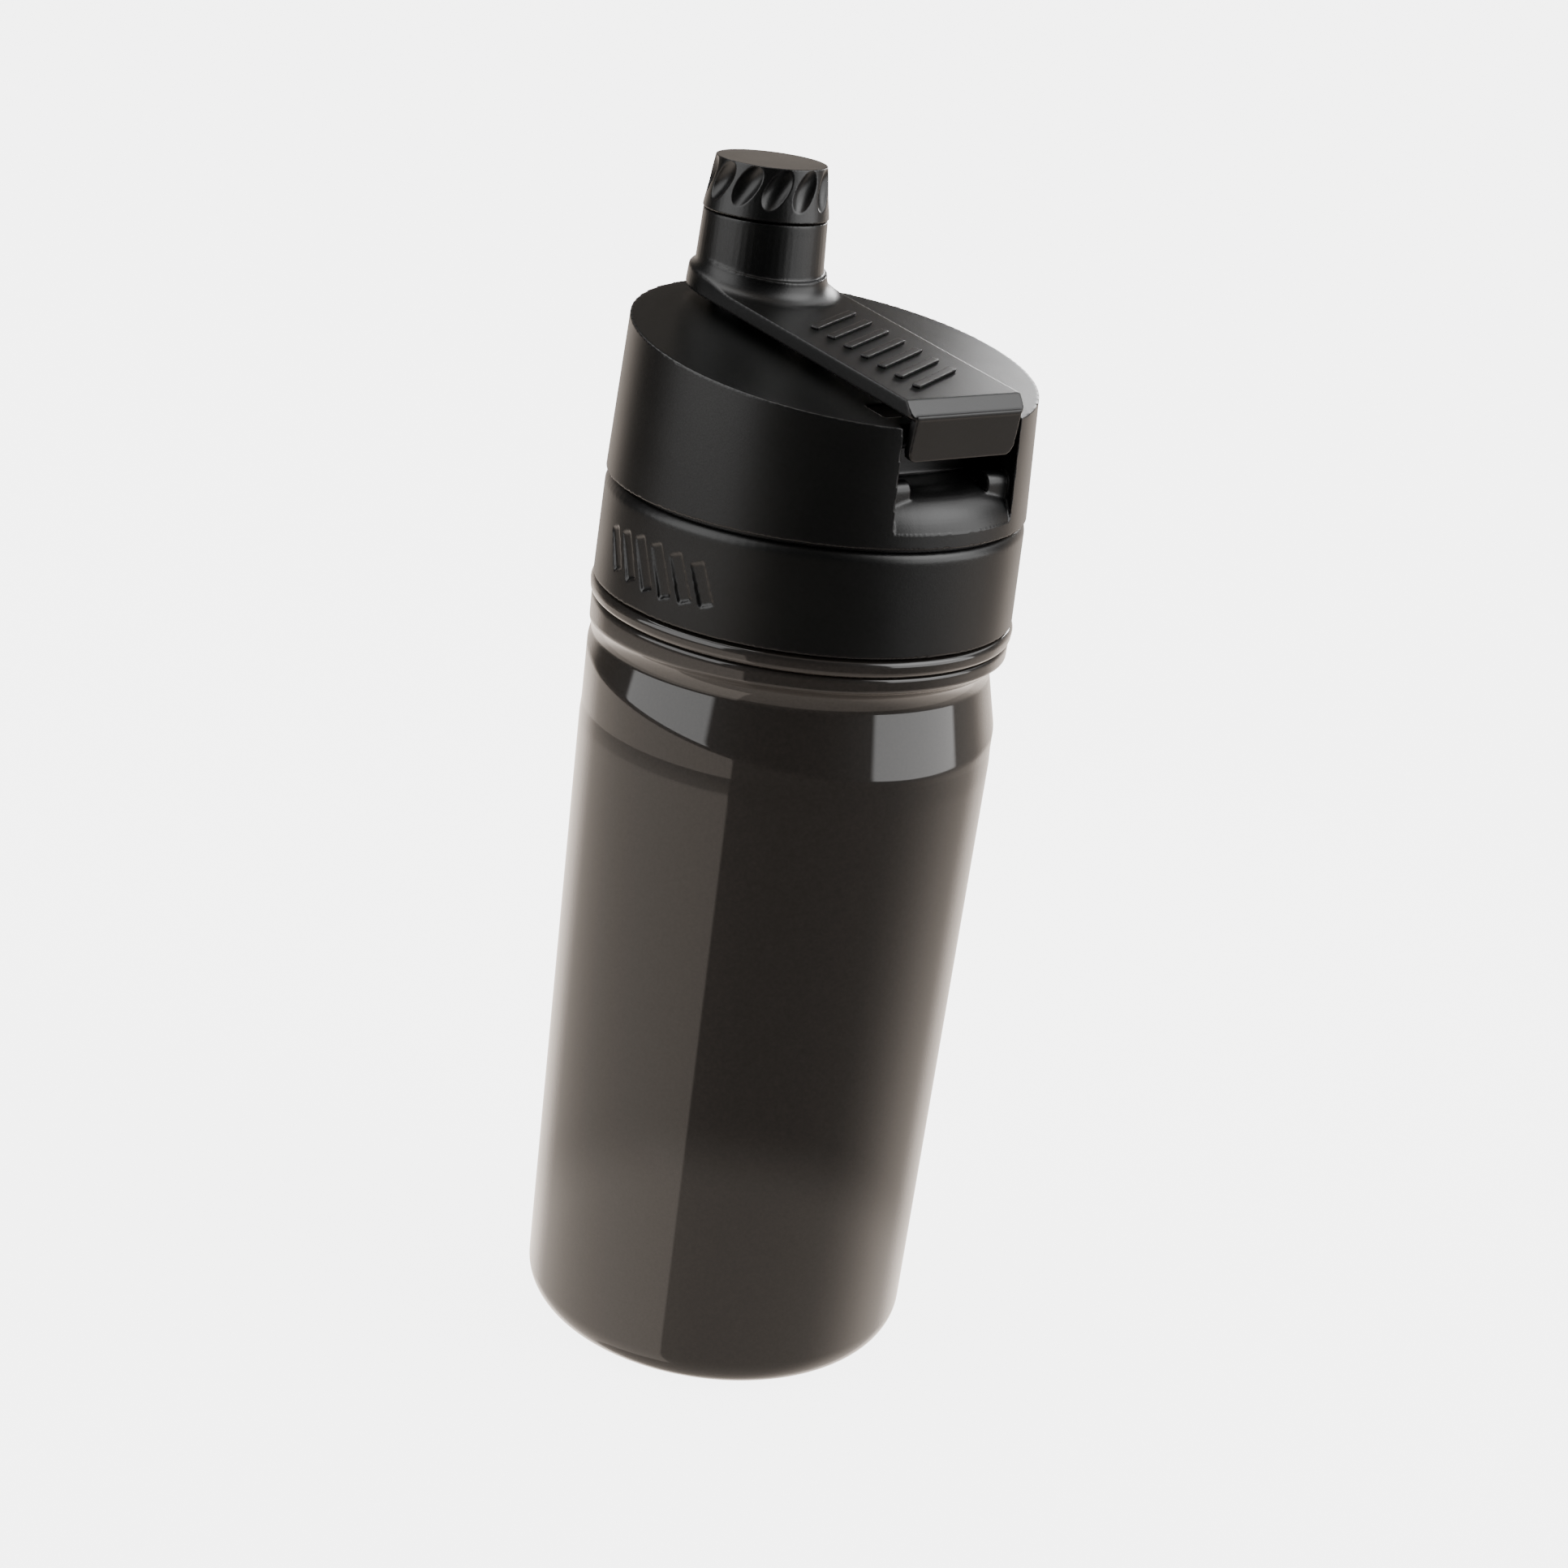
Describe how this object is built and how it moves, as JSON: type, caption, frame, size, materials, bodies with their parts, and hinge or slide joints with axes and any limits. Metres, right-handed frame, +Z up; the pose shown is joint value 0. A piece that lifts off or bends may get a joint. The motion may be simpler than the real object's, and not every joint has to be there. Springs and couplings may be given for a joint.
{
  "type": "protein shaker bottle",
  "caption": "Shaker bottle of smoke plastic with a screw lid, a front-hinged flip arm over a drinking spout and a small twist cap.",
  "frame": {"origin": "centre of the base, on the surface the bottle stands on", "axes": "+Z up along the bottle, -Y towards the lid's hinge at the front, +Y towards the drinking neck"},
  "size_m": [0.0876, 0.0876, 0.2501],
  "materials": {
    "smoke_plastic": "smoke-tinted translucent plastic with a glossy skin",
    "black_plastic": "moulded black plastic with a fine spark texture, satin",
    "black_rubber": "soft black silicone",
    "steel": "ground steel"
  },
  "bodies": {
    "bottle": {"bottle_body": "smoke_plastic"},
    "seal": {"lid_seal": "black_rubber"},
    "lid": {"inner_lid": "black_plastic", "lid_collar": "black_plastic", "lid_shell": "black_plastic", "drink_spout": "black_plastic", "spout_o_ring": "black_rubber", "spout_seal": "black_rubber", "mixing_grid": "black_plastic", "hinge_pin": "steel"},
    "arm": {"flip_arm": "black_plastic", "mouthpiece": "black_plastic", "arm_ribs": "black_plastic", "vent_plug": "black_rubber"},
    "liner": {"cap_liner": "black_rubber"},
    "cap": {"twist_cap": "black_plastic"}
  },
  "joints": [
    {"name": "lid_lift", "type": "slide", "parent": "bottle", "child": "seal", "axis": [0, 0, 1], "range_m": [0, 0.00675]},
    {"name": "lid_turn", "type": "hinge", "parent": "seal", "child": "lid", "pos_m": [0, 0, 0.18], "axis": [0, 0, 1], "range_deg": [0, 540]},
    {"name": "arm_flip", "type": "hinge", "parent": "lid", "child": "arm", "pos_m": [0, -0.035, 0.21038], "axis": [1, 0, 0], "range_deg": [0, 105]},
    {"name": "cap_lift", "type": "slide", "parent": "arm", "child": "liner", "axis": [0, 0, 1], "range_m": [0, 0.00375]},
    {"name": "cap_turn", "type": "hinge", "parent": "liner", "child": "cap", "pos_m": [0, 0.0263, 0.245], "axis": [0, 0, 1], "range_deg": [0, 450]}
  ],
  "couplings": [
    {"joint": "lid_lift", "follows": "lid_turn", "m_per_rad": 0.00071619},
    {"joint": "cap_lift", "follows": "cap_turn", "m_per_rad": 0.00047746}
  ]
}
